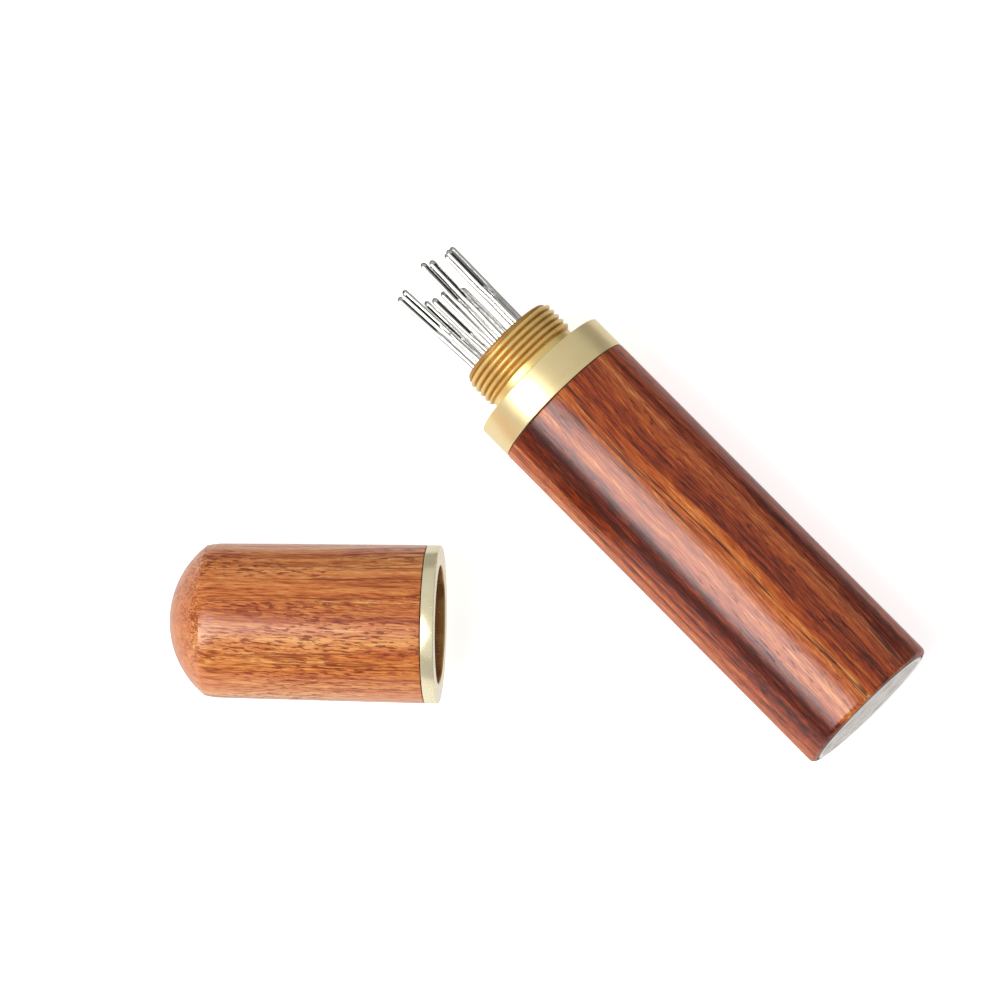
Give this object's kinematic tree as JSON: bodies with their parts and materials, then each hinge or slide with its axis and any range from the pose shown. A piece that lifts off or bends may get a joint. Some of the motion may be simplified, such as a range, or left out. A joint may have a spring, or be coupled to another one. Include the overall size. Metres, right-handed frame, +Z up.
{
  "type": "needle case",
  "caption": "Turned wooden tube with a brass screw mouth holding sewing needles, and its domed wooden screw cap lying beside it.",
  "frame": {"origin": "on the surface that both pieces lie on, under the middle of the bounding box of the case, the cap and the needles", "axes": "+X along the case's axis from its base to its mouth, +Y towards the side where the cap lies, +Z up from the surface"},
  "size_m": [0.0727, 0.0618, 0.018],
  "materials": {
    "case_wood": "dark red-brown hardwood with dark streaks along the grain, satin lacquer",
    "cap_wood": "lighter orange-brown hardwood with short dark pores, satin lacquer",
    "brass": "turned brass, satin on the collar and bright in the thread",
    "plate_metal": "pale silver-grey metal, satin",
    "needle_steel": "polished nickel-plated steel"
  },
  "bodies": {
    "cap": {"cap_shell": "cap_wood", "cap_ring": "brass"},
    "needle_01": {"needle_01": "needle_steel"},
    "needle_02": {"needle_02": "needle_steel"},
    "needle_03": {"needle_03": "needle_steel"},
    "needle_04": {"needle_04": "needle_steel"},
    "needle_05": {"needle_05": "needle_steel"},
    "needle_06": {"needle_06": "needle_steel"},
    "needle_07": {"needle_07": "needle_steel"},
    "needle_08": {"needle_08": "needle_steel"},
    "needle_09": {"needle_09": "needle_steel"},
    "needle_10": {"needle_10": "needle_steel"},
    "needle_11": {"needle_11": "needle_steel"},
    "needle_12": {"needle_12": "needle_steel"},
    "needle_13": {"needle_13": "needle_steel"},
    "case": {"case_body": "case_wood", "mouth_fitting": "brass", "base_disc": "plate_metal"}
  },
  "joints": [
    {"name": "case_swing", "type": "hinge", "parent": "cap", "child": "needle_01", "pos_m": [-0.00991, -0.05677, 0.009], "axis": [0, 0, 1], "range_deg": [0, 44.1]},
    {"name": "case_approach", "type": "slide", "parent": "needle_01", "child": "needle_02", "axis": [1, 0, 0], "range_m": [0, 0.02335]},
    {"name": "case_advance", "type": "slide", "parent": "needle_02", "child": "needle_03", "axis": [1, 0, 0], "range_m": [0, 0.00375]},
    {"name": "case_turn", "type": "hinge", "parent": "needle_03", "child": "case", "pos_m": [-0.03625, -0.02189, 0.009], "axis": [1, 0, 0], "range_deg": [0, 1800]},
    {"name": "needle_04_slide", "type": "slide", "parent": "needle_03", "child": "needle_04", "axis": [-1, 0, 0], "range_m": [-0.0292, 0.0288]},
    {"name": "needle_05_slide", "type": "slide", "parent": "needle_03", "child": "needle_05", "axis": [-0.9986, -0.0523, 0], "range_m": [-0.0283, 0.0297]},
    {"name": "needle_06_slide", "type": "slide", "parent": "needle_03", "child": "needle_06", "axis": [-0.9986, -0.0523, 0], "range_m": [-0.0285, 0.0295]},
    {"name": "needle_07_slide", "type": "slide", "parent": "needle_03", "child": "needle_07", "axis": [-0.9997, -0.0262, 0], "range_m": [-0.0311, 0.0269]},
    {"name": "needle_08_slide", "type": "slide", "parent": "needle_03", "child": "needle_08", "axis": [-0.9997, -0.0262, 0], "range_m": [-0.0307, 0.0273]},
    {"name": "needle_09_slide", "type": "slide", "parent": "needle_03", "child": "needle_09", "axis": [-0.9998, 0.0209, 0], "range_m": [-0.0279, 0.0301]},
    {"name": "needle_10_slide", "type": "slide", "parent": "needle_03", "child": "needle_10", "axis": [-0.9998, 0.0209, 0], "range_m": [-0.0274, 0.0306]},
    {"name": "needle_11_slide", "type": "slide", "parent": "needle_03", "child": "needle_11", "axis": [-0.9999, 0.0105, 0], "range_m": [-0.0283, 0.0297]},
    {"name": "needle_12_slide", "type": "slide", "parent": "needle_03", "child": "needle_12", "axis": [-0.9999, 0.0105, 0], "range_m": [-0.0284, 0.0296]},
    {"name": "needle_13_slide", "type": "slide", "parent": "needle_03", "child": "needle_13", "axis": [-0.9999, 0.0105, 0], "range_m": [-0.0284, 0.0296]}
  ],
  "couplings": [
    {"joint": "case_advance", "follows": "case_turn", "m_per_rad": 0.00011937}
  ]
}
